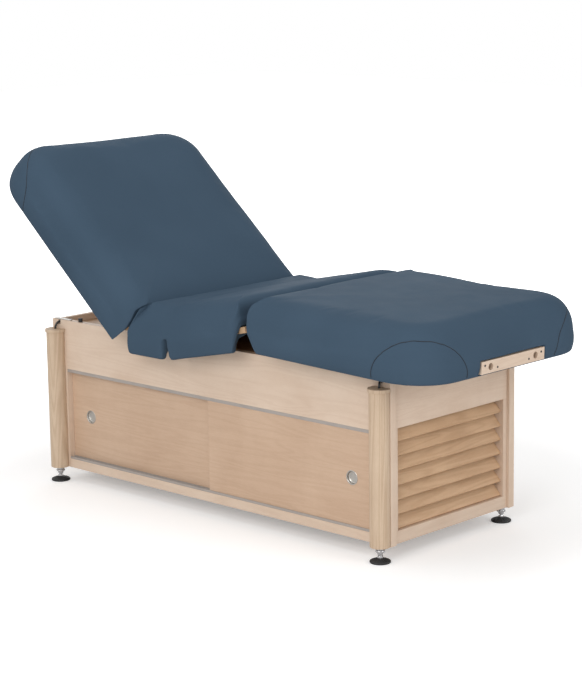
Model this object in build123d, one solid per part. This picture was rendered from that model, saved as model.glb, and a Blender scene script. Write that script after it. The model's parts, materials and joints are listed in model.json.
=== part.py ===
from build123d import *
from math import atan2, cos, degrees, hypot, pi, radians, sin, tan
import os

# Spa and treatment table: a padded top in four sections (back, seat, thigh, leg) on a wooden
# storage cabinet that stands on four electro-hydraulic lift columns.
# Millimetres. +X runs to the foot end, -Y faces the sliding doors, +Z is up, z = 0 is the floor.
# Everything is laid out about the cabinet's centre and shifted at the end, so that the origin is
# the middle of the whole table's footprint.

# ---- cabinet -----------------------------------------------------------------------------
floor_gap = 45            # underside of the cabinet above the floor
cabinet_length = 1424     # over the corner posts
cabinet_depth = 554       # over the long sides
cabinet_height = 480      # side panels, bottom edge to top edge
post_width = 62           # corner posts, along X
post_thickness = 24       # corner posts and long side panels
post_stand_out = 9        # posts stand out past the end boards
end_board = 18            # thickness of the end headers and sills
fascia_height = 157       # long panel above the doors
rail_height = 28.5        # rail below the doors
rail_depth = 40
header_height = 149       # board above the louvres
sill_height = 37          # board below the louvres
stile_width = 17          # upright beside the louvres, along Y
stile_depth = 46          # the same, along X
slat_count = 7
slat_thickness = 7
slat_width = 52
slat_slope = 48.5         # degrees from level, lower edge outwards
slat_recess = 8           # lower edge behind the face of the stiles
floor_board = 18          # bottom board of the storage space
lid_board = 15            # top board under the padded sections
lid_drop = 20             # top board below the panels' top edge
hose_hole_radius = 7

# ---- sliding doors -----------------------------------------------------------------------
door_thickness = 12
door_overlap = 26
door_side_play = 0.75
door_lift_play = 4        # room above a door in the upper track
door_glide = 1            # a door's lower edge above the lower track's floor
track_set_back = 2
track_floor = 2.5
track_fin = 2
lower_fin_height = 5
upper_fin_height = 8
pull_radius = 19
pull_flange = 21.5
pull_flange_thickness = 1
pull_wall = 1.2
pull_depth = 9
pull_from_end = 86        # pull centre from the door's outer edge
pull_height = 174         # pull centre above the underside of the cabinet

# ---- lift columns ------------------------------------------------------------------------
column_radius = 29.5      # wooden columns in front, let into the posts
column_stand_off = 14     # column axis in front of the long side
rear_inset = 24           # the rear lift cylinders' axis inside the rear face
column_from_end = 28      # column and cylinder axes from the posts' outer end
cap_radius = 33
cap_thickness = 10
cap_drop = 28             # top of the cap below the panels' top edge
cap_hole_radius = 6
cylinder_radius = 16
cylinder_bore = 12
cylinder_play = 0.2
gland_length = 25
cylinder_end_wall = 10
rear_cylinder_drop = 85   # top of a rear cylinder below the panels' top edge
rod_radius = 8
rod_play = 0.05
piston_length = 20
piston_play = 0.1
lift_stroke = 250
foot_cone_top = 12
foot_cone_low = 7.5
foot_cone_height = 21
stem_radius = 5
pad_radius = 30
pad_rim = 6
pad_dome = 6
pad_neck_radius = 8
stem_seat = 5             # stem end above the floor, in the pad's socket

# ---- hoses and pump ----------------------------------------------------------------------
hose_radius = 3.5
hose_bend = 22
hose_drop = 5             # hose centreline below the panels' top edge, in the post's slot
hose_inset = 20           # a front hose drops into the cabinet this far in from its column
hose_drop_y = 229
hose_run_drop = 52        # hoses' run below the panels' top edge
hose_turn_x = 44          # a rear hose clears its post by this much before it turns
hose_turn_y = 28
slot_width = 9.5
slot_depth = 16
strap_length = 80
strap_width = 20
strap_thickness = 1.5
strap_bolt_radius = 3
strap_bolt_height = 2
pump_length = 170
pump_depth = 120
pump_height = 190
pump_y = 190
motor_radius = 42
motor_sink = 8
port_height = 12
port_radius = 6
port_x = 60
port_y = 25
inlet_width = 48
inlet_height = 28
inlet_depth = 22
inlet_flange = 3
inlet_height_above = 85   # inlet centre above the underside of the cabinet

# ---- padded top --------------------------------------------------------------------------
top_width = 758
deck_gap = 12             # decks above the panels' top edge
deck_thickness = 18
foam_thickness = 88
skirt_thickness = 22
skirt_drop = 53           # padded skirt below the underside of a deck
plan_radius = 140         # rounded corners at the head and foot ends
back_length = 748         # hinge line to head end
seat_length = 171.5       # between the back and thigh hinge lines
thigh_length = 340        # between the thigh and knee hinge lines
leg_length = 672          # knee hinge line to foot end
back_hinge_x = -259
back_set_back = 14        # back skirt's lower corner and deck from the hinge line
back_face_gap = 7         # back padding from the hinge line, at the deck's top
seat_bevel = 35           # degrees, the seat padding's head face from upright
seat_head_gap = 3         # seat padding from the back hinge line
seat_foot_gap = 5.5       # seat padding from the thigh hinge line
thigh_set_back = 17
thigh_bevel = 10
thigh_knee_low = 41       # thigh padding short of the knee line, at the skirt's edge
thigh_knee_high = 3       # the same, at the top
leg_knee_low = 35         # leg padding past the knee line, at the skirt's edge
leg_knee_deck = 3
leg_knee_bulge = -5
leg_knee_high = 0
knee_bulge_height = 40    # height of the bulge above the hinge line
back_angle = 41.5         # raised position of the back
thigh_angle = 11.8        # raised position of the thigh section
leg_droop = 1.8           # leg section then slopes down to the foot end by this
thigh_top_angle = 18      # highest thigh position

# ---- hinges, bearers and the leg support -------------------------------------------------
pin_radius = 5
eye_radius = 8.8
hinge_play = 0.08
hinge_plate = 6
hinge_side_play = 1
hinge_y = 200             # inner face of the fixed hinge plates
hinge_reach = 120
flange_width = 28
flange_thickness = 4
web_depth = 14
deck_end_gap = 9.5        # deck's end from a hinge line
bearer_width = 25
bearer_length = 360
bumper_radius = 7
bumper_gap = 0.5
bumper_from_end = 60      # outer bumpers from the inner edges of the posts
support_bar = 8
support_bar_height = 16
support_y = 150
support_side_play = 1.5
support_pin_x = 420       # support rod, along the leg section from the knee line
support_pin_drop = 25     # support rod below the hinge line
support_hole_play = 1.5   # the leg's brackets pass the rod with this clearance all round

# ---- accessory plate at the foot end -----------------------------------------------------
plate_length = 281
plate_height = 35
plate_above_skirt = 8
plate_proud = 5
plate_play = 0.5
socket_depth = 60
socket_block_length = 240
socket_radius = 10
socket_spacing = 200
socket_floor = 10
screw_y_outer = 125.5
screw_y_inner = 70
screw_step = 6
screw_head_radius = 3.2
screw_head = 2.5
screw_shank_radius = 1.8
screw_length = 22

# ---- worked out from the sizes above -----------------------------------------------------
ends = {"head": -1, "foot": 1}
sides = {"front": -1, "rear": 1}
half_length = cabinet_length / 2
half_depth = cabinet_depth / 2
base_z = floor_gap
rim_z = floor_gap + cabinet_height
end_face = half_length - post_stand_out
end_inner = end_face - end_board
inner_y = half_depth - post_thickness
bay_half = half_length - post_width
fascia_z = rim_z - fascia_height
rail_z = base_z + rail_height
lid_z = rim_z - lid_drop
louvre_low = base_z + sill_height
louvre_high = rim_z - header_height
column_x = half_length - column_from_end
front_y = half_depth + column_stand_off
rear_y = half_depth - rear_inset
column_top = rim_z - cap_drop - cap_thickness
rear_cylinder_top = rim_z - rear_cylinder_drop
inlet_z = base_z + inlet_height_above
cap_z = rim_z - cap_drop
deck_z = rim_z + deck_gap
hinge_z = deck_z + deck_thickness / 2
half_deck = deck_thickness / 2
skirt_z = -half_deck - skirt_drop
foam_z = half_deck + foam_thickness
half_width = top_width / 2
half_deck_width = half_width - skirt_thickness
thigh_hinge_x = back_hinge_x + seat_length
knee_flat_x = thigh_hinge_x + thigh_length
moving_y = hinge_y + hinge_plate + hinge_side_play

nodes = {}


def block(x0, x1, y0, y1, z0, z1):
    """A box between two corners, given in any order."""
    size = (abs(x1 - x0), abs(y1 - y0), abs(z1 - z0))
    return Pos((x0 + x1) / 2, (y0 + y1) / 2, (z0 + z1) / 2) * Box(*size)


def rod_z(x, y, z0, z1, radius):
    """An upright round bar."""
    return Pos(x, y, (z0 + z1) / 2) * Cylinder(radius, z1 - z0)


def rod_y(x, z, y0, y1, radius):
    """A round bar along Y."""
    return Pos(x, (y0 + y1) / 2, z) * Rot(90, 0, 0) * Cylinder(radius, abs(y1 - y0))


def rod_x(y, z, x0, x1, radius):
    """A round bar along X."""
    return Pos((x0 + x1) / 2, y, z) * Rot(0, 90, 0) * Cylinder(radius, abs(x1 - x0))


def side_prism(points, y0, y1):
    """An outline in the XZ plane, extruded from y0 to y1."""
    outline = make_face(Polyline(*[(x, y0, z) for x, z in points], close=True))
    return extrude(outline, y1 - y0, dir=(0, 1, 0))


def group(solids):
    """Separate solids that share one node."""
    return Compound([solid for shape in solids for solid in shape.solids()])


# ---- cabinet -----------------------------------------------------------------------------
def bore_for_cylinders(shape):
    """Clears the two rear lift cylinders, and their hoses' first bend, out of a board."""
    for sx in ends.values():
        shape -= rod_z(sx * column_x, rear_y, base_z, rim_z - hose_run_drop + hose_bend,
                       cylinder_radius + cylinder_play)
    return shape


def hose_slot(sx):
    """The slot across a front post's top edge that its hose lies in."""
    run = hypot(hose_inset, front_y - hose_drop_y)
    turn = degrees(atan2(sx * hose_inset, front_y - hose_drop_y))
    x = sx * (column_x - hose_inset / 2)
    y = -(front_y + hose_drop_y) / 2
    return Pos(x, y, rim_z - slot_depth / 2) * Rot(0, 0, turn) * Box(slot_width, run, slot_depth)


def build_posts():
    for end, sx in ends.items():
        front = block(sx * bay_half, sx * half_length, -half_depth, -inner_y, base_z, rim_z)
        front -= rod_z(sx * column_x, -front_y, base_z, cap_z, column_radius)
        nodes[f"post_front_{end}"] = front - hose_slot(sx)
        rear = block(sx * bay_half, sx * half_length, inner_y, half_depth, base_z, rim_z)
        nodes[f"post_rear_{end}"] = bore_for_cylinders(rear)


def track_y():
    """Y of the track's outer edge and of the two doors' outer faces, front to back."""
    edge = -half_depth + track_set_back
    lane = door_thickness + 2 * door_side_play
    outer = edge + track_fin + door_side_play
    inner = outer + lane + track_fin
    return edge, outer, inner


def track(z_floor, z_fins):
    """A two-lane plastic door track: a floor strip and three fins."""
    edge, outer, inner = track_y()
    lane = door_thickness + 2 * door_side_play
    width = 3 * track_fin + 2 * lane
    z_back = z_floor + track_floor if z_floor < z_fins else z_floor - track_floor
    strip = block(-bay_half, bay_half, edge, edge + width, z_floor, z_back)
    for lane_edge in (0, track_fin + lane, 2 * (track_fin + lane)):
        strip += block(-bay_half, bay_half, edge + lane_edge, edge + lane_edge + track_fin,
                       z_back, z_fins)
    return strip


def build_long_sides():
    batten_depth = track_y()[0] + 3 * track_fin + 2 * (door_thickness + 2 * door_side_play) + inner_y
    fascia = block(-bay_half, bay_half, -half_depth, -inner_y, fascia_z, rim_z)
    fascia += block(-bay_half, bay_half, -inner_y, -inner_y + batten_depth,
                    fascia_z, fascia_z + rail_height)
    nodes["front_fascia"] = fascia
    nodes["front_rail"] = block(-bay_half, bay_half, -half_depth, -half_depth + rail_depth,
                                base_z, rail_z)
    nodes["rear_panel"] = block(-bay_half, bay_half, inner_y, half_depth, base_z, rim_z)
    nodes["rear_panel"] -= block(-inlet_width / 2, inlet_width / 2, inner_y, half_depth,
                                 inlet_z - inlet_height / 2, inlet_z + inlet_height / 2)
    nodes["upper_track"] = track(fascia_z, fascia_z - track_floor - upper_fin_height)
    nodes["lower_track"] = track(rail_z, rail_z + track_floor + lower_fin_height)


def slats(sx):
    """Louvre slats of one end, each with its lower edge outwards."""
    pitch = (louvre_high - louvre_low) / slat_count
    run = slat_width * cos(radians(slat_slope))
    rise = slat_width * sin(radians(slat_slope))
    nip = (slat_thickness * sin(radians(slat_slope)), slat_thickness * cos(radians(slat_slope)))
    x_low = end_face - slat_recess - nip[0]
    y_end = inner_y - stile_width
    result = []
    for index in range(slat_count):
        z_low = louvre_low + index * pitch
        corners = [(x_low, z_low), (x_low + nip[0], z_low + nip[1]),
                   (x_low + nip[0] - run, z_low + nip[1] + rise), (x_low - run, z_low + rise)]
        slat = side_prism([(sx * x, z) for x, z in corners], -y_end, y_end)
        result.append(slat - block(sx * 0, sx * half_length, -y_end, y_end, louvre_high, rim_z))
    return result


def build_ends():
    headers = [block(sx * end_inner, sx * end_face, -inner_y, inner_y, louvre_high, rim_z)
               for sx in ends.values()]
    sills = [block(sx * end_inner, sx * end_face, -inner_y, inner_y, base_z, louvre_low)
             for sx in ends.values()]
    stiles = [block(sx * (end_face - stile_depth), sx * end_face,
                    sy * (inner_y - stile_width), sy * inner_y, louvre_low, louvre_high)
              for sx in ends.values() for sy in sides.values()]
    nodes["end_headers"] = group([bore_for_cylinders(header) for header in headers])
    nodes["end_sills"] = group([bore_for_cylinders(sill) for sill in sills])
    nodes["end_stiles"] = group([bore_for_cylinders(stile) for stile in stiles])
    nodes["foot_end_louvres"] = group(slats(1))
    nodes["head_end_louvres"] = group(slats(-1))


def build_boards():
    nodes["bottom_board"] = bore_for_cylinders(block(
        -end_inner, end_inner, -half_depth + rail_depth, inner_y, rail_z - floor_board, rail_z))
    lid = block(-end_inner, end_inner, -inner_y, inner_y, lid_z - lid_board, lid_z)
    for sx in ends.values():
        lid -= rod_z(sx * (column_x - hose_inset), -hose_drop_y, lid_z - lid_board, lid_z,
                     hose_hole_radius)
    nodes["top_board"] = lid


# ---- sliding doors -----------------------------------------------------------------------
def build_doors():
    door_width = bay_half + door_overlap / 2
    z_low = rail_z + track_floor + door_glide
    z_high = fascia_z - track_floor - door_lift_play
    faces = dict(zip(("foot", "head"), track_y()[1:]))
    for end, sx in ends.items():
        y_face = faces[end]
        x_pull = sx * (bay_half - pull_from_end)
        z_pull = base_z + pull_height
        door = block(sx * bay_half, sx * (bay_half - door_width), y_face,
                     y_face + door_thickness, z_low, z_high)
        nodes[f"door_{end}"] = door - rod_y(x_pull, z_pull, y_face,
                                            y_face + door_thickness, pull_radius)
        cup = rod_y(x_pull, z_pull, y_face - pull_flange_thickness, y_face, pull_flange)
        cup += rod_y(x_pull, z_pull, y_face, y_face + pull_depth, pull_radius)
        cup -= rod_y(x_pull, z_pull, y_face - pull_flange_thickness,
                     y_face + pull_depth - pull_wall, pull_radius - pull_wall)
        nodes[f"pull_{end}"] = cup


# ---- lift columns ------------------------------------------------------------------------
def lift_cylinder(x, y, top):
    """A closed steel tube with a gland at its lower end."""
    tube = rod_z(x, y, base_z, top, cylinder_radius)
    tube -= rod_z(x, y, base_z + gland_length, top - cylinder_end_wall, cylinder_bore)
    return tube - rod_z(x, y, base_z, base_z + gland_length, rod_radius + rod_play)


def lift_rod(x, y, top):
    """Piston, rod and foot stem in one steel piece."""
    cone_top = base_z - 2
    cone_low = cone_top - foot_cone_height
    rod = rod_z(x, y, cone_top, top, rod_radius)
    rod += rod_z(x, y, top - piston_length, top, cylinder_bore - piston_play)
    rod += Pos(x, y, (cone_low + cone_top) / 2) * Cone(foot_cone_low, foot_cone_top,
                                                       foot_cone_height)
    return rod + rod_z(x, y, stem_seat, cone_low, stem_radius)


def foot_pad(x, y):
    pad = rod_z(x, y, 0, pad_rim, pad_radius)
    pad += Pos(x, y, pad_rim + pad_dome / 2) * Cone(pad_radius - pad_rim / 2, pad_neck_radius,
                                                    pad_dome)
    return pad - rod_z(x, y, stem_seat, pad_rim + pad_dome, stem_radius)


def build_columns():
    cylinders = []
    for side, y, top in (("front", -front_y, column_top), ("rear", rear_y, rear_cylinder_top)):
        for end, sx in ends.items():
            x = sx * column_x
            cylinders.append(lift_cylinder(x, y, top))
            rod_top = top - cylinder_end_wall - piston_play
            nodes[f"lift_rod_{side}_{end}"] = lift_rod(x, y, rod_top)
            nodes[f"foot_pad_{side}_{end}"] = foot_pad(x, y)
    for end, sx in ends.items():
        x = sx * column_x
        column = rod_z(x, -front_y, base_z, column_top, column_radius)
        nodes[f"column_{end}"] = column - rod_z(x, -front_y, base_z, column_top,
                                                cylinder_radius + cylinder_play)
        cap = rod_z(x, -front_y, column_top, cap_z, cap_radius)
        cap -= block(x - cap_radius, x + cap_radius, -half_depth, -inner_y, column_top, cap_z)
        cap += rod_z(x, -front_y, column_top, cap_z, column_radius)
        nodes[f"column_cap_{end}"] = cap - rod_z(x, -front_y, column_top, cap_z, cap_hole_radius)
    nodes["lift_cylinders"] = group(cylinders)


# ---- hoses and pump ----------------------------------------------------------------------
def port(sx, sy):
    """Top of one of the pump's four ports."""
    return sx * port_x, pump_y + sy * port_y, rail_z + pump_height + port_height


def hose(route):
    """A hose of round section along straight runs joined by arcs."""
    path = FilletPolyline(*route, radius=[hose_bend] * (len(route) - 2))
    length = path.length
    tube = sweep(Plane(origin=route[0], z_dir=(0, 0, 1)) * Circle(hose_radius), path=path)
    print("hose", round(length, 1), "volume over section times length",
          round(tube.volume / (pi * hose_radius ** 2 * length), 4))
    return tube


def front_hose(sx):
    """Up out of the cap, through the post's slot, down through the top board, to the pump."""
    z_slot = rim_z - hose_drop
    z_run = rim_z - hose_run_drop
    x_drop = sx * (column_x - hose_inset)
    x_port, y_port, z_port = port(sx, -1)
    return hose([(sx * column_x, -front_y, column_top), (sx * column_x, -front_y, z_slot),
                 (x_drop, -hose_drop_y, z_slot), (x_drop, -hose_drop_y, z_run),
                 (x_port, y_port, z_run), (x_port, y_port, z_port)])


def rear_hose(sx):
    """Up out of a rear cylinder, clear of its post and along under the top board."""
    z_run = rim_z - hose_run_drop
    x_port, y_port, z_port = port(sx, 1)
    return hose([(sx * column_x, rear_y, rear_cylinder_top), (sx * column_x, rear_y, z_run),
                 (sx * (column_x - hose_turn_x), rear_y - hose_turn_y, z_run),
                 (x_port, y_port, z_run), (x_port, y_port, z_port)])


def strap(sx):
    """A metal strip over a front post's slot, with a bolt at its inner end."""
    x_end = half_length - strap_length
    y_mid = -half_depth + post_thickness / 2
    plate = block(sx * x_end, sx * half_length, y_mid - strap_width / 2, y_mid + strap_width / 2,
                  rim_z, rim_z + strap_thickness)
    return plate + rod_z(sx * (x_end + 2 * strap_bolt_radius), y_mid, rim_z + strap_thickness,
                         rim_z + strap_thickness + strap_bolt_height, strap_bolt_radius)


def build_hydraulics():
    nodes["hydraulic_hoses"] = group([make(sx) for make in (front_hose, rear_hose)
                                      for sx in ends.values()])
    for end, sx in ends.items():
        nodes[f"hose_strap_{end}"] = strap(sx)
    x = pump_length / 2
    z_tank = rail_z + pump_height - 2 * motor_radius
    pump = block(-x, x, pump_y - pump_depth / 2, pump_y + pump_depth / 2, rail_z, z_tank)
    pump += rod_x(pump_y, z_tank + motor_radius - motor_sink, -x + 10, x - 10, motor_radius)
    for sx in ends.values():
        for sy in sides.values():
            x_port, y_port, z_port = port(sx, sy)
            pump += rod_z(x_port, y_port, z_tank + motor_radius, z_port, port_radius)
    nodes["pump_unit"] = pump
    inlet = block(-inlet_width / 2, inlet_width / 2, inner_y - inlet_depth + post_thickness,
                  half_depth, inlet_z - inlet_height / 2, inlet_z + inlet_height / 2)
    inlet += block(-inlet_width / 2 - 6, inlet_width / 2 + 6, half_depth,
                   half_depth + inlet_flange, inlet_z - inlet_height / 2 - 6,
                   inlet_z + inlet_height / 2 + 6)
    inlet -= block(-inlet_width / 2 + 8, inlet_width / 2 - 8, half_depth - inlet_depth + 6,
                   half_depth + inlet_flange, inlet_z - inlet_height / 2 + 5,
                   inlet_z + inlet_height / 2 - 5)
    nodes["mains_inlet"] = inlet


# ---- padded top: built flat, then turned about its hinges ----------------------------------
def raise_back(shape):
    return shape.rotate(Axis((back_hinge_x, 0, hinge_z), (0, 1, 0)), back_angle)


def raise_thigh(shape):
    return shape.rotate(Axis((thigh_hinge_x, 0, hinge_z), (0, -1, 0)), thigh_angle)


def raise_leg(shape):
    knee = Axis((knee_flat_x, 0, hinge_z), (0, -1, 0))
    return raise_thigh(shape.rotate(knee, -thigh_angle - leg_droop))


def plan_prism(x_hinge, x_end, half_y, radius, z0, z1):
    """A plan from a hinge line to a free end with rounded corners, between two heights."""
    plan = block(x_hinge, x_end, -half_y, half_y, z0, z1)
    if radius <= 0:
        return plan
    towards = 1 if x_end > x_hinge else -1
    corners = plan.edges().filter_by(Axis.Z).sort_by(Axis.X)
    corners = corners[-2:] if towards > 0 else corners[:2]
    return fillet(corners, radius)


def cushion(x_hinge, outline, free_end=None):
    """Padding with skirts round its deck. The outline is a side view about the hinge line."""
    points = [(x_hinge + x, hinge_z + z) for x, z in outline]
    pad = side_prism(points, -half_width, half_width)
    low = hinge_z + skirt_z
    xs = [x for x, z in points]
    if free_end is None:
        return pad - block(min(xs), max(xs), -half_deck_width, half_deck_width,
                           low, hinge_z + half_deck)
    start = min(xs) if free_end > 0 else max(xs)
    stop = max(xs) if free_end > 0 else min(xs)
    pad &= plan_prism(start, stop, half_width, plan_radius, low, hinge_z + foam_z)
    return pad - plan_prism(start, stop - free_end * skirt_thickness, half_deck_width,
                            plan_radius - skirt_thickness, low, hinge_z + half_deck)


def deck(x0, x1, rounded=False):
    radius = plan_radius - skirt_thickness if rounded else 0
    return plan_prism(x0, x1, half_deck_width, radius, hinge_z - half_deck, hinge_z + half_deck)


def hinge_arms(x_hinge, direction, y_inner, radius):
    """A pair of steel angles: an eye round the pin and a flange screwed under a deck."""
    arms = []
    for sy in sides.values():
        far = x_hinge + direction * hinge_reach
        y0 = sy * y_inner
        y1 = sy * (y_inner + hinge_plate)
        web = block(x_hinge, far, y0, y1, hinge_z - half_deck - web_depth, hinge_z - half_deck)
        web += block(x_hinge, x_hinge + direction * eye_radius, y0, y1,
                     hinge_z - half_deck - web_depth, hinge_z)
        web += rod_y(x_hinge, hinge_z, y0, y1, eye_radius)
        web += block(x_hinge + direction * (deck_end_gap + hinge_plate), far, y0,
                     sy * (y_inner + flange_width), hinge_z - half_deck - flange_thickness,
                     hinge_z - half_deck)
        arms.append(web - rod_y(x_hinge, hinge_z, y0, y1, radius))
    return arms


def hinge_stands(x_hinge, radius):
    """A pair of upright plates on the top board that hold a hinge pin."""
    stands = []
    for sy in sides.values():
        y0 = sy * hinge_y
        y1 = sy * (hinge_y + hinge_plate)
        stand = block(x_hinge - eye_radius, x_hinge + eye_radius, y0, y1, lid_z, hinge_z)
        stand += block(x_hinge - 3 * eye_radius, x_hinge + 3 * eye_radius,
                       y0, sy * (hinge_y - flange_width), lid_z, lid_z + flange_thickness)
        stand += block(x_hinge - 3 * eye_radius, x_hinge + 3 * eye_radius, y0, y1,
                       lid_z, lid_z + flange_thickness)
        stand += rod_y(x_hinge, hinge_z, y0, y1, eye_radius)
        stands.append(stand - rod_y(x_hinge, hinge_z, y0, y1, radius))
    return stands


def hinge_pin(x_hinge):
    reach = hinge_y + 2 * hinge_plate + 2 * hinge_side_play
    return rod_y(x_hinge, hinge_z, -reach, reach, pin_radius)


def build_seat():
    foam_low = half_deck
    outline = [(seat_head_gap, skirt_z), (seat_head_gap, foam_low),
               (seat_head_gap + foam_thickness * tan(radians(seat_bevel)), foam_z),
               (seat_length - seat_foot_gap, foam_z), (seat_length - seat_foot_gap, skirt_z)]
    nodes["seat_cushion"] = cushion(back_hinge_x, outline)
    nodes["seat_deck"] = deck(back_hinge_x + deck_end_gap, thigh_hinge_x - deck_end_gap)
    quarter = seat_length / 4
    nodes["seat_bearers"] = group([
        block(x - bearer_width / 2, x + bearer_width / 2, -bearer_length / 2, bearer_length / 2,
              lid_z, deck_z) for x in (back_hinge_x + quarter, thigh_hinge_x - quarter)])


def build_back():
    back_bevel = back_angle - seat_bevel    # so that the faces are parallel when it is raised
    outline = [(-back_set_back, skirt_z), (-back_face_gap, half_deck),
               (-back_face_gap - foam_thickness * tan(radians(back_bevel)), foam_z),
               (-back_length, foam_z), (-back_length, skirt_z)]
    nodes["back_cushion"] = raise_back(cushion(back_hinge_x, outline, free_end=-1))
    nodes["back_deck"] = raise_back(deck(back_hinge_x - back_set_back,
                                         back_hinge_x - back_length + skirt_thickness, True))
    nodes["back_hinge_arms"] = raise_back(group(
        hinge_arms(back_hinge_x, -1, moving_y, pin_radius + hinge_play)))


def build_thigh():
    outline = [(thigh_set_back, skirt_z), (thigh_set_back, half_deck),
               (thigh_set_back + foam_thickness * tan(radians(thigh_bevel)), foam_z),
               (thigh_length - thigh_knee_high, foam_z), (thigh_length - thigh_knee_low, skirt_z)]
    nodes["thigh_cushion"] = raise_thigh(cushion(thigh_hinge_x, outline))
    nodes["thigh_deck"] = raise_thigh(deck(thigh_hinge_x + deck_end_gap,
                                           knee_flat_x - deck_end_gap))
    nodes["thigh_hinge_arms"] = raise_thigh(group(
        hinge_arms(thigh_hinge_x, 1, moving_y, pin_radius + hinge_play)))
    nodes["knee_hinge_bases"] = raise_thigh(group(
        hinge_arms(knee_flat_x, -1, hinge_y, pin_radius)))
    nodes["knee_hinge_pin"] = raise_thigh(hinge_pin(knee_flat_x))


def accessory_plate():
    """Face-cradle sockets: a block under the deck whose nose passes through the end skirt."""
    z_low = hinge_z + skirt_z + plate_above_skirt
    z_hole = z_low + plate_height / 2
    x_skirt = knee_flat_x + leg_length - skirt_thickness
    x_face = knee_flat_x + leg_length + plate_proud
    plate = block(x_skirt, x_face, -plate_length / 2, plate_length / 2, z_low,
                  z_low + plate_height)
    plate += block(x_skirt - socket_depth, x_skirt, -socket_block_length / 2,
                   socket_block_length / 2, z_low, hinge_z - half_deck)
    for sy in (-1, 1):
        plate -= rod_x(sy * socket_spacing / 2, z_hole, x_skirt - socket_depth + socket_floor,
                       x_face, socket_radius)
    screws = [rod_x(sy * y, z_hole + dz, x_face - screw_length, x_face, screw_shank_radius)
              + rod_x(sy * y, z_hole + dz, x_face - screw_head, x_face, screw_head_radius)
              for sy in (-1, 1) for y, dz in ((screw_y_outer, screw_step),
                                              (screw_y_inner, -screw_step))]
    for screw in screws:
        plate -= screw
    return plate, screws


def build_leg():
    outline = [(leg_knee_low, skirt_z), (leg_knee_deck, -half_deck),
               (leg_knee_bulge, knee_bulge_height), (leg_knee_high, foam_z),
               (leg_length, foam_z), (leg_length, skirt_z)]
    pad = cushion(knee_flat_x, outline, free_end=1)
    z_low = hinge_z + skirt_z + plate_above_skirt
    pad -= block(knee_flat_x + leg_length - 2 * skirt_thickness, knee_flat_x + leg_length,
                 -plate_length / 2 - plate_play, plate_length / 2 + plate_play,
                 z_low - plate_play, z_low + plate_height + plate_play)
    nodes["leg_cushion"] = raise_leg(pad)
    nodes["leg_deck"] = raise_leg(deck(knee_flat_x + deck_end_gap,
                                       knee_flat_x + leg_length - skirt_thickness, True))
    nodes["knee_hinge_arms"] = raise_leg(group(
        hinge_arms(knee_flat_x, 1, moving_y, pin_radius + hinge_play)))
    plate, screws = accessory_plate()
    nodes["accessory_plate"] = raise_leg(plate)
    nodes["plate_screws"] = raise_leg(group(screws))


# ---- leg support: a pair of bars that swing up with the knee -------------------------------
def support_rod_path(thigh):
    """Where the leg section's support rod is, in XZ, with the thigh at an angle in degrees."""
    leg = -thigh * leg_droop / thigh_angle
    knee_x = thigh_hinge_x + thigh_length * cos(radians(thigh))
    knee_z = hinge_z + thigh_length * sin(radians(thigh))
    along, drop = support_pin_x, support_pin_drop
    return (knee_x + along * cos(radians(leg)) + drop * sin(radians(leg)),
            knee_z + along * sin(radians(leg)) - drop * cos(radians(leg)))


def support_pivot():
    """Centre of the circle through the rod's three positions: flat, raised and highest."""
    (ax, az), (bx, bz), (cx, cz) = (support_rod_path(angle)
                                    for angle in (0, thigh_angle, thigh_top_angle))
    d = 2 * (ax * (bz - cz) + bx * (cz - az) + cx * (az - bz))
    a2, b2, c2 = ax * ax + az * az, bx * bx + bz * bz, cx * cx + cz * cz
    return ((a2 * (bz - cz) + b2 * (cz - az) + c2 * (az - bz)) / d,
            (a2 * (cx - bx) + b2 * (ax - cx) + c2 * (bx - ax)) / d)


def support_angle(thigh):
    """Angle of the support bars above level, in degrees."""
    pivot_x, pivot_z = support_pivot()
    x, z = support_rod_path(thigh)
    return degrees(atan2(z - pivot_z, x - pivot_x))


def support_plates(x, z, y_inner, radius, top):
    """A pair of upright plates with an eye at (x, z) and a foot at the height of a board."""
    plates = []
    reach = support_bar_height / 2
    for sy in sides.values():
        y0 = sy * y_inner
        y1 = sy * (y_inner + support_bar)
        plate = block(x - reach, x + reach, y0, y1, z, top) + rod_y(x, z, y0, y1, reach)
        plates.append(plate - rod_y(x, z, y0, y1, radius))
    return plates


def build_support():
    pivot_x, pivot_z = support_pivot()
    rod_x_flat, rod_z_flat = support_rod_path(0)
    bar_length = hypot(rod_x_flat - pivot_x, rod_z_flat - pivot_z)
    fixed_y = support_y - support_bar - support_side_play
    bracket_y = support_y + support_bar + support_side_play
    reach = support_bar_height / 2

    def swing(shape):
        return shape.rotate(Axis((pivot_x, 0, pivot_z), (0, -1, 0)), support_angle(thigh_angle))

    bars = []
    for sy in sides.values():
        y0 = sy * support_y
        y1 = sy * (support_y + support_bar)
        bar = block(pivot_x, pivot_x + bar_length, y0, y1, pivot_z - reach, pivot_z + reach)
        for x, radius in ((pivot_x, pin_radius + hinge_play), (pivot_x + bar_length, pin_radius)):
            bar += rod_y(x, pivot_z, y0, y1, reach)
            bar -= rod_y(x, pivot_z, y0, y1, radius)
        bars.append(swing(bar))
    nodes["support_bars"] = group(bars)
    rod_end = bracket_y + support_bar + support_side_play
    nodes["support_rod"] = swing(rod_y(pivot_x + bar_length, pivot_z, -rod_end, rod_end,
                                       pin_radius))
    nodes["leg_brackets"] = raise_leg(group(support_plates(
        rod_x_flat, rod_z_flat, bracket_y, pin_radius + support_hole_play,
        hinge_z - half_deck)))
    stands = hinge_stands(back_hinge_x, pin_radius) + hinge_stands(thigh_hinge_x, pin_radius)
    stands += support_plates(pivot_x, pivot_z, fixed_y, pin_radius, lid_z)
    nodes["hinge_stands"] = group(stands)
    support_pin = rod_y(pivot_x, pivot_z, -bracket_y, bracket_y, pin_radius)
    nodes["hinge_pins"] = group([hinge_pin(back_hinge_x), hinge_pin(thigh_hinge_x), support_pin])


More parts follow.
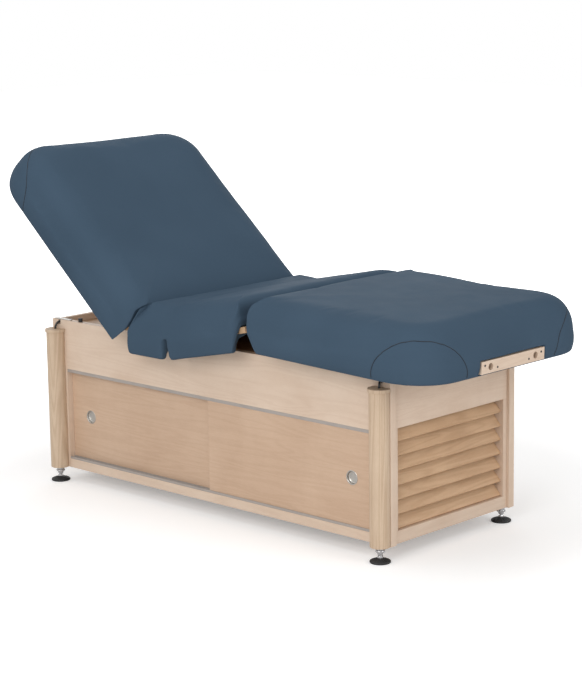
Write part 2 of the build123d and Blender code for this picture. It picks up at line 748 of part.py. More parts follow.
def build_bumpers():
    """Rubber buttons on the long sides' top edges, which carry the sections when flat."""
    back_mid = back_hinge_x - back_length / 2
    places = (back_mid + back_length / 4, bumper_from_end - bay_half,
              (thigh_hinge_x + knee_flat_x) / 2, bay_half - bumper_from_end)
    nodes["deck_bumpers"] = group([
        rod_z(x, sy * (inner_y + post_thickness / 2), rim_z, deck_z - bumper_gap, bumper_radius)
        for x in places for sy in sides.values()])


for build in (build_posts, build_long_sides, build_ends, build_boards, build_doors,
              build_columns, build_hydraulics, build_seat, build_back, build_thigh, build_leg,
              build_support, build_bumpers):
    build()

boxes = [shape.bounding_box(optimal=True) for shape in nodes.values()]
low = Vector(*(min(getattr(box.min, axis) for box in boxes) for axis in "XYZ"))
high = Vector(*(max(getattr(box.max, axis) for box in boxes) for axis in "XYZ"))
shift = Vector(-(low.X + high.X) / 2, -(low.Y + high.Y) / 2, -low.Z)

os.makedirs("parts", exist_ok=True)
for name, shape in nodes.items():
    export_step(Pos(shift) * shape, f"parts/{name}.step")
print(len(nodes), "nodes, moved by", shift, "size", high - low)
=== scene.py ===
import json
from math import atan2, ceil, cos, exp, hypot, pi, radians, sin, tan

import bmesh
import bpy
from mathutils import Matrix, Vector, noise
from mathutils.bvhtree import BVHTree
from mathutils.kdtree import KDTree


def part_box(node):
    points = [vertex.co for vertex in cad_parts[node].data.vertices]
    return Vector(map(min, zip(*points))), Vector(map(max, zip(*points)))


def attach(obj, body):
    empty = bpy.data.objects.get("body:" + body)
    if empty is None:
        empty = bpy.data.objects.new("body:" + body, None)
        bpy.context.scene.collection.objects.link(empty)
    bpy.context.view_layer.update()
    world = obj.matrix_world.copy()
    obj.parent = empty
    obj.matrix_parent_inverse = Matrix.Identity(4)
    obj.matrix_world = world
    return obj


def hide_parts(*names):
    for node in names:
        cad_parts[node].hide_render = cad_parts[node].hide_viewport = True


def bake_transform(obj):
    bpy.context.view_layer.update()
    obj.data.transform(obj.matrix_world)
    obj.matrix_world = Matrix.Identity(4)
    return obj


# Looks for a spa and treatment table: vinyl pads sewn over foam, a maple cabinet, turned columns.
# Metres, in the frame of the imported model: +X to the foot end, -Y to the doors, +Z up.

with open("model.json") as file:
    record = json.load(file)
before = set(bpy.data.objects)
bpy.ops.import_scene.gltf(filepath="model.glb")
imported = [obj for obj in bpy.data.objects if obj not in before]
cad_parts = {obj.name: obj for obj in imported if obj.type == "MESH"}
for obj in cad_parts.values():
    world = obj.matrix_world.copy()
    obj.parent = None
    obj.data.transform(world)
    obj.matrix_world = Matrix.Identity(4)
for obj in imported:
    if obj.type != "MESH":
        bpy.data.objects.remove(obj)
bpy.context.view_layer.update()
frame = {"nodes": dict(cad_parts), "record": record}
nodes = frame["nodes"]
record = frame["record"]
joints = {joint["name"]: joint for joint in record["behaviour"]["joints"]}
mounts = {mount["name"]: mount for mount in record["mounts"]}
ENDS = {"head": -1, "foot": 1}
CORNERS = ("front_head", "front_foot", "rear_head", "rear_foot")

# ---- driving sizes -------------------------------------------------------------------------
DECK_TOP = 0.009            # decks' top above a hinge line
SKIRT_BOTTOM = -0.062       # padded skirt's lower edge below a hinge line
PAD_TOP = 0.097             # top of the padding above a hinge line
SKIRT_THICKNESS = 0.022
PAD_INSET = 0.001           # the sewn cover starts this far inside the foam block
BACK_LENGTH = 0.748
LEG_LENGTH = 0.672
THIGH_LENGTH = 0.340
SEAT_LENGTH = 0.1715
PLAN_RADIUS = 0.140
SIDE_ROUNDING = (0.066, 0.078)      # the long top edges: how far in, and how far down
END_ROUNDING = (0.082, 0.096)       # the head and foot ends' top edges
BULGE = 0.003               # walls stand out this much between their edges
LIP = 0.008                 # rounding of a skirt's lower edge
SWELL_CAP = 0.005           # the cover swells by this much at most
SWELL_FRAMES = 20
SWELL_PRESSURE = 4
CROWN = 0.006               # how far the middle of a pad stands above its edges

half_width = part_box("seat_cushion")[1][1] - PAD_INSET
back_hinge = Vector(joints["back_hinge"]["pos_m"])
thigh_hinge = Vector(joints["thigh_hinge"]["pos_m"])
knee = Vector(joints["knee_hinge"]["pos_m"])
back_raise = radians(-joints["back_hinge"]["range_deg"][0])
thigh_raise = radians(-joints["thigh_hinge"]["range_deg"][0])
foot_axis = Vector(mounts["cradle_socket_front"]["axis"])
leg_droop = atan2(-foot_axis.z, foot_axis.x)


# ---- small tools -----------------------------------------------------------------------------
def mix(a, b, t):
    return a + (b - a) * t


def smooth(t):
    t = min(1.0, max(0.0, t))
    return t * t * (3 - 2 * t)


def new_piece(name, mesh_or_bm, material, body, shade=True):
    """A mesh object with a material, riding on a body."""
    mesh = mesh_or_bm
    if isinstance(mesh_or_bm, bmesh.types.BMesh):
        bmesh.ops.recalc_face_normals(mesh_or_bm, faces=mesh_or_bm.faces)
        mesh = bpy.data.meshes.new(name)
        mesh_or_bm.to_mesh(mesh)
        mesh_or_bm.free()
    piece = bpy.data.objects.new(name, mesh)
    bpy.context.scene.collection.objects.link(piece)
    mesh.materials.append(material)
    if shade:
        for face in mesh.polygons:
            face.use_smooth = True
    if body:
        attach(piece, body)
    return piece


def apply_modifiers(piece):
    """Turns a piece's modifiers into its mesh."""
    graph = bpy.context.evaluated_depsgraph_get()
    mesh = bpy.data.meshes.new_from_object(piece.evaluated_get(graph))
    piece.modifiers.clear()
    piece.data = mesh


def lathe(profile, segments=64, centre=(0, 0, 0), matrix=None):
    """A turned form from (radius, height) points, about the Z axis of centre."""
    bm = bmesh.new()
    rings = []
    for radius, height in profile:
        if radius < 1e-6:
            rings.append([bm.verts.new((0, 0, height))])
            continue
        rings.append([bm.verts.new((radius * cos(2 * pi * i / segments),
                                    radius * sin(2 * pi * i / segments), height))
                      for i in range(segments)])
    for low, high in zip(rings, rings[1:]):
        for i in range(segments):
            k = (i + 1) % segments
            corners = [low[i % len(low)], low[k % len(low)], high[k % len(high)],
                       high[i % len(high)]]
            face = list(dict.fromkeys(corners))
            if len(face) > 2:
                bm.faces.new(face)
    for ring in (rings[0], rings[-1]):
        if len(ring) > 2:
            bm.faces.new(ring)
    bm.transform((Matrix.Translation(centre) @ matrix) if matrix else Matrix.Translation(centre))
    return bm


# ---- materials -------------------------------------------------------------------------------
def linear(red, green, blue):
    """An sRGB colour, 0 to 255, as the linear values a shader takes."""
    return tuple(((c / 255 + 0.055) / 1.055) ** 2.4 if c > 10 else c / 3295
                 for c in (red, green, blue)) + (1.0,)


class Nodes:
    """Short calls for building a node tree."""

    def __init__(self, tree):
        self.tree = tree

    def add(self, kind, settings=None, **inputs):
        node = self.tree.nodes.new(kind)
        for key, value in (settings or {}).items():
            setattr(node, key, value)
        for key, value in inputs.items():
            self.feed(node.inputs[key.replace("_", " ")], value)
        return node

    def feed(self, socket, value):
        if isinstance(value, bpy.types.NodeSocket):
            self.tree.links.new(value, socket)
        else:
            socket.default_value = value

    def math(self, operation, a, b=0.0):
        node = self.tree.nodes.new("ShaderNodeMath")
        node.operation = operation
        self.feed(node.inputs[0], a)
        self.feed(node.inputs[1], b)
        return node.outputs[0]

    def blend(self, factor, a, b):
        node = self.tree.nodes.new("ShaderNodeMix")
        node.data_type = "RGBA"
        self.feed(node.inputs[0], factor)
        self.feed(node.inputs[6], a)
        self.feed(node.inputs[7], b)
        return node.outputs[2]

    def noise(self, vector, scale, detail=3.0, roughness=0.5, distortion=0.0):
        return self.add("ShaderNodeTexNoise", Vector=vector, Scale=scale, Detail=detail,
                        Roughness=roughness, Distortion=distortion).outputs[0]

    def spread(self, value, low, high):
        node = self.add("ShaderNodeMapRange")
        self.feed(node.inputs[0], value)
        node.inputs[1].default_value = low
        node.inputs[2].default_value = high
        return node.outputs[0]


def shader_group(name, inputs, outputs):
    """An empty node group with named sockets. Returns the group, its tools and its two ends."""
    tree = bpy.data.node_groups.new(name, "ShaderNodeTree")
    for label, kind in inputs.items():
        tree.interface.new_socket(label, in_out="INPUT", socket_type=kind)
    for label, kind in outputs.items():
        tree.interface.new_socket(label, in_out="OUTPUT", socket_type=kind)
    tools = Nodes(tree)
    return tree, tools, tools.add("NodeGroupInput").outputs, tools.add("NodeGroupOutput").inputs


FLOAT, COLOUR, VECTOR = "NodeSocketFloat", "NodeSocketColor", "NodeSocketVector"


def grain_group():
    """Sawn wood: long fibres, softly curving growth rings and small dark flecks."""
    tree, t, given, result = shader_group(
        "wood_grain",
        {"Position": VECTOR, "Stretch": VECTOR, "Light": COLOUR, "Dark": COLOUR,
         "Figure": FLOAT, "Rings": FLOAT},
        {"Color": COLOUR, "Roughness": FLOAT, "Height": FLOAT})
    stretched = t.add("ShaderNodeVectorMath", {"operation": "MULTIPLY"})
    t.feed(stretched.inputs[0], given["Position"])
    t.feed(stretched.inputs[1], given["Stretch"])
    along = stretched.outputs[0]
    fibres = t.noise(along, 55.0, 5.0, 0.65)
    pores = t.noise(along, 190.0, 2.0, 0.5)
    clouds = t.noise(given["Position"], 5.0, 3.0, 0.5, 0.6)
    field = t.noise(along, 1.3, 2.0, 0.45, 0.5)
    rings = t.math("SINE", t.math("MULTIPLY", field, given["Rings"]))
    rings = t.math("POWER", t.math("ABSOLUTE", rings), 3.0)
    ring_tint = t.math("MULTIPLY", rings, given["Figure"])
    tint = t.math("ADD", t.math("MULTIPLY", t.spread(fibres, 0.35, 0.75), 0.24),
                  t.math("MULTIPLY", t.spread(clouds, 0.3, 0.7), 0.28))
    tint = t.math("ADD", tint, ring_tint)
    tint = t.math("ADD", tint, t.math("MULTIPLY", t.spread(pores, 0.62, 0.8), 0.18))
    t.feed(result["Color"], t.blend(tint, given["Light"], given["Dark"]))
    t.feed(result["Roughness"], t.math("ADD", 0.40, t.math("MULTIPLY", fibres, 0.16)))
    t.feed(result["Height"], t.math("SUBTRACT", fibres, t.math("MULTIPLY", pores, 0.5)))
    return tree


def pebble_group():
    """Upholstery vinyl: a fine pebbled grain, faint creases and an uneven tone."""
    tree, t, given, result = shader_group(
        "vinyl_grain", {"Position": VECTOR, "Tone": COLOUR, "Shade": COLOUR},
        {"Color": COLOUR, "Roughness": FLOAT, "Height": FLOAT})
    pebbles = t.add("ShaderNodeTexVoronoi", {"feature": "SMOOTH_F1"}, Vector=given["Position"],
                    Scale=620.0, Smoothness=0.7).outputs["Distance"]
    creases = t.noise(given["Position"], 170.0, 4.0, 0.6, 0.4)
    drift = t.noise(given["Position"], 3.2, 2.0, 0.5)
    worn = t.noise(given["Position"], 14.0, 4.0, 0.6)
    tint = t.math("ADD", t.math("MULTIPLY", t.spread(drift, 0.3, 0.7), 0.55),
                  t.math("MULTIPLY", creases, 0.35))
    t.feed(result["Color"], t.blend(tint, given["Tone"], given["Shade"]))
    t.feed(result["Roughness"], t.math("ADD", 0.54, t.math("MULTIPLY", worn, 0.18)))
    t.feed(result["Height"], t.math("ADD", t.math("MULTIPLY", pebbles, 0.6),
                                    t.math("MULTIPLY", creases, 0.5)))
    return tree


def smudge_group():
    """Handling marks and dust for metal, plastic and rubber."""
    tree, t, given, result = shader_group(
        "handling_marks",
        {"Position": VECTOR, "Stretch": VECTOR, "Tone": COLOUR, "Marks": COLOUR,
         "Roughness": FLOAT, "Amount": FLOAT},
        {"Color": COLOUR, "Roughness": FLOAT, "Height": FLOAT})
    stretched = t.add("ShaderNodeVectorMath", {"operation": "MULTIPLY"})
    t.feed(stretched.inputs[0], given["Position"])
    t.feed(stretched.inputs[1], given["Stretch"])
    fine = t.noise(stretched.outputs[0], 420.0, 3.0, 0.6)
    broad = t.noise(given["Position"], 24.0, 4.0, 0.6, 0.3)
    tint = t.math("MULTIPLY", t.spread(broad, 0.42, 0.75), given["Amount"])
    t.feed(result["Color"], t.blend(tint, given["Tone"], given["Marks"]))
    rough = t.math("MULTIPLY", t.math("SUBTRACT", broad, 0.5), given["Amount"])
    t.feed(result["Roughness"], t.math("ADD", given["Roughness"], rough))
    t.feed(result["Height"], fine)
    return tree


GRAIN, PEBBLE, SMUDGE = grain_group(), pebble_group(), smudge_group()


def material(name, group, values, bump, bump_depth, **constants):
    """A Principled material whose colour, roughness and bump come from one node group."""
    made = bpy.data.materials.new(name)
    made.use_nodes = True
    t = Nodes(made.node_tree)
    shader = made.node_tree.nodes["Principled BSDF"]
    surface = t.add("ShaderNodeGroup", {"node_tree": group})
    t.feed(surface.inputs["Position"], t.add("ShaderNodeTexCoord").outputs["Object"])
    for label, value in values.items():
        surface.inputs[label].default_value = value
    t.feed(shader.inputs["Base Color"], surface.outputs["Color"])
    t.feed(shader.inputs["Roughness"], surface.outputs["Roughness"])
    raised = t.add("ShaderNodeBump", Strength=bump, Distance=bump_depth,
                   Height=surface.outputs["Height"])
    t.feed(shader.inputs["Normal"], raised.outputs[0])
    for label, value in constants.items():
        shader.inputs[label.replace("_", " ")].default_value = value
    return made


GRAIN_STRETCH = 13.0        # how much finer the grain is across than along


def wood(name, light, dark, grain, figure=0.14, rings=30.0, bump=0.12):
    stretch = [GRAIN_STRETCH] * 3
    stretch["XYZ".index(grain)] = 1.0
    return material(name, GRAIN, {"Stretch": stretch, "Light": light, "Dark": dark,
                                  "Figure": figure, "Rings": rings}, bump, 0.0006)


def marked(name, tone, marks, roughness, amount, bump=0.1, stretch=(1, 1, 1), **constants):
    return material(name, SMUDGE, {"Stretch": stretch, "Tone": tone, "Marks": marks,
                                   "Roughness": roughness, "Amount": amount}, bump, 0.0003,
                    **constants)


MAPLE_LIGHT, MAPLE_DARK = linear(225, 204, 184), linear(196, 166, 141)
panel_maple = wood("maple panel, grain along", MAPLE_LIGHT, MAPLE_DARK, "X")
door_maple = wood("maple door, grain along", linear(210, 181, 155), linear(178, 143, 115), "X",
                  figure=0.14)
post_maple = wood("maple post, grain upright", MAPLE_LIGHT, MAPLE_DARK, "Z", figure=0.15)
end_maple = wood("maple end board", MAPLE_LIGHT, MAPLE_DARK, "Y")
column_maple = wood("turned maple column", linear(214, 191, 165), linear(172, 142, 113), "Z",
                    figure=0.3, rings=36.0)
louvre_wood = wood("louvre slat", linear(222, 188, 152), linear(184, 144, 108), "Y", figure=0.25)
# painted shade: the deck and cabinet boards are coloured darker than the maple, which paints the
# shade the pads cast on them into the boards' own colour
deck_wood_painted_shade = wood("birch deck board", linear(190, 158, 124), linear(150, 118, 86), "X")
vinyl = material("slate blue vinyl", PEBBLE,
                 {"Tone": linear(69, 87, 104), "Shade": linear(62, 79, 95)}, 0.35, 0.0004,
                 Specular_IOR_Level=0.02, Sheen_Weight=0.0)
# painted shade: the seam thread is coloured much darker than the vinyl, so besides the thread
# itself it paints in the shade of the seam's groove
thread_painted_shade = marked("dark seam thread", linear(24, 32, 42), linear(36, 44, 55), 0.7, 0.3)
track_grey = marked("grey track plastic", linear(168, 160, 154), linear(140, 132, 126), 0.5, 0.3)
brushed = marked("brushed steel", linear(190, 186, 180), linear(150, 146, 140), 0.32, 0.2,
                 stretch=(1, 1, 12), Metallic=1.0)
chrome = marked("bright plated steel", linear(205, 205, 207), linear(170, 170, 172), 0.14, 0.12,
                bump=0.02, Metallic=1.0)
black_steel = marked("black painted steel", linear(34, 35, 37), linear(60, 60, 62), 0.45, 0.3)
rubber = marked("black rubber", linear(26, 26, 27), linear(58, 57, 55), 0.62, 0.35, bump=0.25)
hose_rubber = marked("smooth hose rubber", linear(30, 30, 31), linear(52, 52, 52), 0.4, 0.25)
cast_grey = marked("cast pump grey", linear(96, 99, 102), linear(70, 72, 75), 0.55, 0.4,
                   bump=0.4, Metallic=0.6)
inlet_black = marked("moulded black plastic", linear(28, 28, 29), linear(48, 48, 49), 0.45, 0.3)


# ---- carried-over parts ----------------------------------------------------------------------
def finish_node(name, finish, ease=0.0):
    """Gives a CAD part its material, and eases its sharp edges."""
    part = nodes[name]
    part.data.materials.clear()
    part.data.materials.append(finish)
    if ease:
        weld = part.modifiers.new("close seams", "WELD")
        weld.merge_threshold = 0.00002
        edge = part.modifiers.new("eased edges", "BEVEL")
        edge.width = ease
        edge.segments = 2
        edge.limit_method = "ANGLE"
        edge.angle_limit = radians(35)
        flat = part.modifiers.new("even shading", "WEIGHTED_NORMAL")
        flat.keep_sharp = False


FINISHES = {
    panel_maple: (0.0012, "front_fascia front_rail rear_panel"),
    door_maple: (0.001, "door_head door_foot"),
    post_maple: (0.0015, "post_front_head post_front_foot post_rear_head post_rear_foot"
                         " end_stiles"),
    end_maple: (0.0012, "end_headers end_sills accessory_plate"),
    column_maple: (0.0018, "column_head column_foot column_cap_head column_cap_foot"),
    louvre_wood: (0.0012, "foot_end_louvres head_end_louvres"),
    # the decks, bearers and cabinet boards take the darker colour with painted shade
    deck_wood_painted_shade: (0.001, "seat_deck back_deck thigh_deck leg_deck top_board bottom_board"
                       " seat_bearers"),
    track_grey: (0.0, "upper_track lower_track"),
    black_steel: (0.0006, "hinge_stands back_hinge_arms thigh_hinge_arms knee_hinge_arms"
                          " knee_hinge_bases leg_brackets support_bars lift_cylinders"),
    chrome: (0.0, "lift_rod_front_head lift_rod_front_foot lift_rod_rear_head"
                  " lift_rod_rear_foot hinge_pins knee_hinge_pin support_rod"),
    rubber: (0.001, "deck_bumpers"),
    hose_rubber: (0.0, "hydraulic_hoses"),
    cast_grey: (0.002, "pump_unit"),
    inlet_black: (0.001, "mains_inlet"),
}
for finish, (ease, names) in FINISHES.items():
    for node_name in names.split():
        finish_node(node_name, finish, ease)


# ---- padded sections -------------------------------------------------------------------------
def along(points, value):
    """Straight-line lookup in (key, result) points with rising keys."""
    for (k0, r0), (k1, r1) in zip(points, points[1:]):
        if value <= k1:
            return mix(r0, r1, min(1.0, max(0.0, (value - k0) / (k1 - k0))))
    return points[-1][1]


class End:
    """One end of a pad. A closed end has a skirt; an open one stops at the hinge."""

    def __init__(self, x, radius, rounding, face=None):
        self.x = x                  # at the top
        self.radius = radius        # of the corners in plan
        self.rounding = rounding    # of the top edge: how far in, and how far down
        self.face = face            # (height, x) points of an open end's side view
        self.open = face is not None


STEP = 0.011                # mesh spacing on the pads
CORNER_STEPS = 10
WALL_STEPS = 11
ARC_STEPS = 8
TOP_STEPS = 16
END_FADE = 0.13             # how far an open end's slope reaches into the pad


def profile(closed, rounding):
    """Side view of a pad's wall from its underside, over the lip and up to the top, as
    (inset, height) points. Every pad edge gives the same number of points."""
    top = PAD_TOP - CROWN
    lip = LIP
    if closed:
        low = SKIRT_BOTTOM
        points = [(SKIRT_THICKNESS, DECK_TOP), (SKIRT_THICKNESS, low + lip),
                  (SKIRT_THICKNESS - 0.3 * lip, low + 0.3 * lip), (SKIRT_THICKNESS / 2, low),
                  (0.3 * lip, low + 0.3 * lip), (0.0, low + lip)]
    else:
        low = DECK_TOP
        points = [(0.030, low), (0.024, low), (0.018, low), (0.012, low), (0.004, low + 0.001),
                  (0.0, low + 0.004)]
    foot_height = points[-1][1]
    reach, drop = rounding
    wall = top - drop
    for i in range(1, WALL_STEPS + 1):
        t = i / WALL_STEPS
        points.append((-BULGE * sin(pi * t), mix(foot_height, wall, t)))
    for i in range(1, ARC_STEPS + 1):
        turn = i / ARC_STEPS * pi / 2
        points.append((reach * (1 - cos(turn)), wall + drop * sin(turn)))
    return points


def pad_mesh(start, stop, slit=None):
    """Rings round the pad's outline, from the underside over the top to the middle."""
    side = profile(True, SIDE_ROUNDING)
    ends = [profile(not end.open, end.rounding) for end in (start, stop)]
    middle_x = (start.x + stop.x) / 2
    length_steps = max(8, ceil((stop.x - start.x) / STEP))
    width_steps = 2 * ceil(half_width / STEP / 1.4)
    bm = bmesh.new()
    loops = []

    def ring(inset_side, insets, height_side, heights):
        x0, x1 = start.x + insets[0], stop.x - insets[1]
        y1 = half_width - inset_side
        loop = []
        radii = [(max(end.radius - inset, 0.002), max(end.radius - inset_side, 0.002))
                 for end, inset in zip((start, stop), insets)]
        radii = [(min(rx, (x1 - x0) * 0.45), min(ry, y1 * 0.9)) for rx, ry in radii]

        def side_run(x_from, x_to, y):
            for i in range(length_steps):
                t = i / length_steps
                loop.append((mix(x_from, x_to, t), y, height_side))

        def end_run(x, y_from, y_to, height):
            for i in range(width_steps):
                t = i / width_steps
                loop.append((x, mix(y_from, y_to, t), height))

        def corner(cx, cy, rx, ry, turn_from, height_from, height_to):
            for i in range(CORNER_STEPS):
                t = i / CORNER_STEPS
                turn = turn_from + t * pi / 2
                loop.append((cx + rx * cos(turn), cy + ry * sin(turn),
                             mix(height_from, height_to, smooth(t))))

        (rx0, ry0), (rx1, ry1) = radii
        side_run(x0 + rx0, x1 - rx1, -y1)
        corner(x1 - rx1, -y1 + ry1, rx1, ry1, -pi / 2, height_side, heights[1])
        end_run(x1, -y1 + ry1, y1 - ry1, heights[1])
        corner(x1 - rx1, y1 - ry1, rx1, ry1, 0, heights[1], height_side)
        side_run(x1 - rx1, x0 + rx0, y1)
        corner(x0 + rx0, y1 - ry0, rx0, ry0, pi / 2, height_side, heights[0])
        end_run(x0, y1 - ry0, -y1 + ry0, heights[0])
        corner(x0 + rx0, -y1 + ry0, rx0, ry0, pi, heights[0], height_side)
        return loop

    for (inset, height), (inset0, height0), (inset1, height1) in zip(side, *ends):
        loops.append(ring(inset, (inset0, inset1), height, (height0, height1)))
    top_inset = (side[-1][0], ends[0][-1][0], ends[1][-1][0])
    for i in range(1, TOP_STEPS):
        t = i / TOP_STEPS
        height = PAD_TOP - CROWN + CROWN * sin(t * pi / 2)
        loops.append(ring(mix(top_inset[0], half_width, t),
                          (mix(top_inset[1], middle_x - start.x, t),
                           mix(top_inset[2], stop.x - middle_x, t)), height, (height, height)))

    rings = []
    for loop in loops:
        row = []
        for x, y, z in loop:
            for end, sign in ((start, 1), (stop, -1)):
                if end.open:
                    reach = smooth(1 - sign * (x - end.x) / END_FADE)
                    x += reach * (along(end.face, z) - end.x)
            row.append(bm.verts.new((x, y, z)))
        rings.append(row)
    count = len(rings[0])
    cut = slit_columns(rings, slit) if slit else {}
    for j, (low, high) in enumerate(zip(rings, rings[1:])):
        for i in range(count):
            k = (i + 1) % count
            if i in cut and j < cut[i]:
                continue
            bm.faces.new((low[i], low[k], high[k], high[i]))
    for i, top_row in cut.items():
        k = (i + 1) % count
        bm.faces.new((rings[0][i], rings[0][k], rings[top_row][k], rings[top_row][i]))
        if (i - 1) % count not in cut:
            bm.faces.new([rings[j][i] for j in range(top_row + 1)])
        if k not in cut:
            bm.faces.new([rings[j][k] for j in range(top_row, -1, -1)])
    seam = count - CORNER_STEPS - width_steps // 2
    for row in (rings[0], rings[-1]):
        for i in range(count // 2):
            face = [row[(seam + i) % count], row[(seam + i + 1) % count],
                    row[(seam - i - 1) % count], row[(seam - i) % count]]
            bm.faces.new(list(dict.fromkeys(face)))
    return bm


SLIT_TOP = -0.004           # the side slits end about level with the decks


def slit_columns(rings, slit):
    """Moves the two mesh columns nearest a slit's edges onto them, on both sides of the pad.
    Returns the columns to leave out and the row where the slit ends."""
    low, high = slit
    outer = rings[5]
    top_row = next(j for j in range(6, len(rings)) if rings[j][0].co.z > SLIT_TOP)
    cut = {}
    for sign in (-1, 1):
        on_side = [i for i, vert in enumerate(outer)
                   if vert.co.y * sign > half_width - 0.004 and low - 0.2 < vert.co.x < high + 0.2]
        first = min(on_side, key=lambda i: abs(outer[i].co.x - low))
        last = min(on_side, key=lambda i: abs(outer[i].co.x - high))
        for i, x in ((first, low), (last, high)):
            for j in range(top_row + 1):
                shut = smooth((j - 6) / (top_row - 6)) * 0.4 if j > 6 else 0.0
                rings[j][i].co.x = mix(x, (low + high) / 2, shut)
        for i in range(min(first, last), max(first, last)):
            cut[i] = top_row
    return cut


def turned(point, hinge, angle):
    """A point turned about a hinge line along Y. A positive angle lifts the +X side."""
    x, z = point.x - hinge.x, point.z - hinge.z
    return Vector((hinge.x + x * cos(angle) - z * sin(angle), point.y,
                   hinge.z + x * sin(angle) + z * cos(angle)))


def settle(bm, seed):
    """Slight hollows and fullness, as foam has under a stretched cover."""
    for vert in bm.verts:
        lift = noise.noise(vert.co * 5.5 + Vector((seed, 0, 0))) * 0.0022
        lift += noise.noise(vert.co * 17 + Vector((0, seed, 0))) * 0.0006
        if vert.co.z > SKIRT_BOTTOM + 0.02:
            vert.co += vert.normal * lift


def swell(piece, fixed_below, cap):
    """Air pressure under the cover fills the pad out, held at the skirt's lower edge."""
    group = piece.vertex_groups.new(name="stapled edge")
    group.add([v.index for v in piece.data.vertices if v.co.z < fixed_below], 1.0, "REPLACE")
    start = [v.co.copy() for v in piece.data.vertices]
    cloth = piece.modifiers.new("foam pressure", "CLOTH")
    settings = cloth.settings
    settings.quality = 4
    settings.mass = 0.4
    settings.tension_stiffness = settings.compression_stiffness = 40
    settings.shear_stiffness = 25
    settings.bending_stiffness = 6
    settings.use_pressure = True
    settings.uniform_pressure_force = SWELL_PRESSURE
    settings.vertex_group_mass = group.name
    settings.effector_weights.gravity = 0
    cloth.collision_settings.use_collision = False
    scene = bpy.context.scene
    for step in range(1, SWELL_FRAMES + 1):
        scene.frame_set(step)
    apply_modifiers(piece)
    scene.frame_set(1)
    piece.vertex_groups.clear()
    for vert, rest in zip(piece.data.vertices, start):
        move = vert.co - rest
        if move.length > cap:
            vert.co = rest + move * (cap / move.length)


def pad(name, bm, place, body, node_names, seed, tuck=None):
    """Fills a pad out, subdivides it and puts it in its place."""
    bmesh.ops.recalc_face_normals(bm, faces=bm.faces)
    bm.normal_update()
    settle(bm, seed)
    piece = new_piece(name, bm, vinyl, None)
    swell(piece, SKIRT_BOTTOM + 0.004, SWELL_CAP)
    piece.modifiers.new("smooth cover", "SUBSURF").levels = 1
    apply_modifiers(piece)
    for vert in piece.data.vertices:
        vert.co = place(tuck(vert.co.copy()) if tuck else vert.co.copy())
    for face in piece.data.polygons:
        face.use_smooth = True
    piece.data.update()
    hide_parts(*node_names)
    if body:
        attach(piece, body)
    return piece


SEAT_LEAN = radians(35)     # the seat's head face from upright; the raised back lies along it
BACK_TOP_X = -0.004 - (PAD_TOP - DECK_TOP) * tan(back_raise - SEAT_LEAN)
SEAT_TOP_X = 0.003 + (PAD_TOP - DECK_TOP) * tan(SEAT_LEAN)
KNEE_X = SEAT_LENGTH + THIGH_LENGTH
LIFT_ZONE = (-0.030, 0.050)     # where the seat's cover bends into the thigh section
PLATE_HALF, PLATE_LOW, PLATE_HIGH = 0.1405, -0.054, -0.019
PLATE_MARGIN, PLATE_RECESS = 0.005, 0.016


def tuck_round_plate(point):
    """Draws the foot end's cover in behind the face of the accessory plate."""
    inside = min(PLATE_HALF + PLATE_MARGIN - abs(point.y), point.z - PLATE_LOW + PLATE_MARGIN,
                 PLATE_HIGH + PLATE_MARGIN - point.z)
    deep = smooth(inside / PLATE_MARGIN)
    limit = LEG_LENGTH - PLATE_RECESS
    if point.x > limit and deep > 0:
        point.x = mix(point.x, limit, deep)
    return point


def place_back(point):
    return turned(point + back_hinge, back_hinge, -back_raise)


def place_leg(point):
    return turned(point + knee, knee, -leg_droop)


def place_seat(point):
    t = (point.x - SEAT_LENGTH - LIFT_ZONE[0]) / (LIFT_ZONE[1] - LIFT_ZONE[0])
    return turned(point + back_hinge, thigh_hinge, thigh_raise * smooth(t))


back_pad = pad("back_pad", pad_mesh(
    End(-BACK_LENGTH + PAD_INSET, PLAN_RADIUS, END_ROUNDING),
    End(BACK_TOP_X, 0.012, (0.009, 0.012),
        [(SKIRT_BOTTOM, -0.014), (DECK_TOP, -0.004), (PAD_TOP, BACK_TOP_X)])),
    place_back, "back_section", ["back_cushion"], 3.1)
seat_pad = pad("seat_and_thigh_pad", pad_mesh(
    End(SEAT_TOP_X, 0.014, (0.012, 0.016), [(DECK_TOP, 0.004), (PAD_TOP, SEAT_TOP_X)]),
    End(KNEE_X - 0.003, 0.024, (0.042, 0.052),
        [(SKIRT_BOTTOM, KNEE_X - 0.041), (PAD_TOP, KNEE_X - 0.003)]),
    slit=(SEAT_LENGTH - 0.0055, SEAT_LENGTH + 0.017)),
    place_seat, None, ["seat_cushion", "thigh_cushion"], 7.7)
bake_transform(seat_pad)
leg_pad = pad("leg_pad", pad_mesh(
    End(0.0, 0.022, (0.036, 0.054),
        [(SKIRT_BOTTOM, 0.035), (-DECK_TOP, 0.003), (0.040, -0.005), (PAD_TOP, 0.0)]),
    End(LEG_LENGTH - PAD_INSET, PLAN_RADIUS, END_ROUNDING)),
    place_leg, "leg_section", ["leg_cushion"], 12.4, tuck=tuck_round_plate)


# ---- sewn corner panels ----------------------------------------------------------------------
SEAM_RISE = 0.133           # a corner panel's height above the skirt's edge
SEAM_RADIUS = 0.0012
SEAM_POINTS = 48
SEAM_FOOT = 0.006           # its two ends start this far above the skirt's edge
SEAM_ARCH = (2.3, 0.6)      # powers that square the arch's shoulders
SEAM_OUT = 0.015            # outside the corner's rounding, before it is laid on the pad
SEAM_LEAN = (0.04, 0.25)    # above this height it leans in by this share of the rise
SEAM_SPREAD = 0.28          # radians a seam runs on past its corner's rounding, at each end
GROOVE_DEPTH, GROOVE_REACH = 0.0014, 0.0065


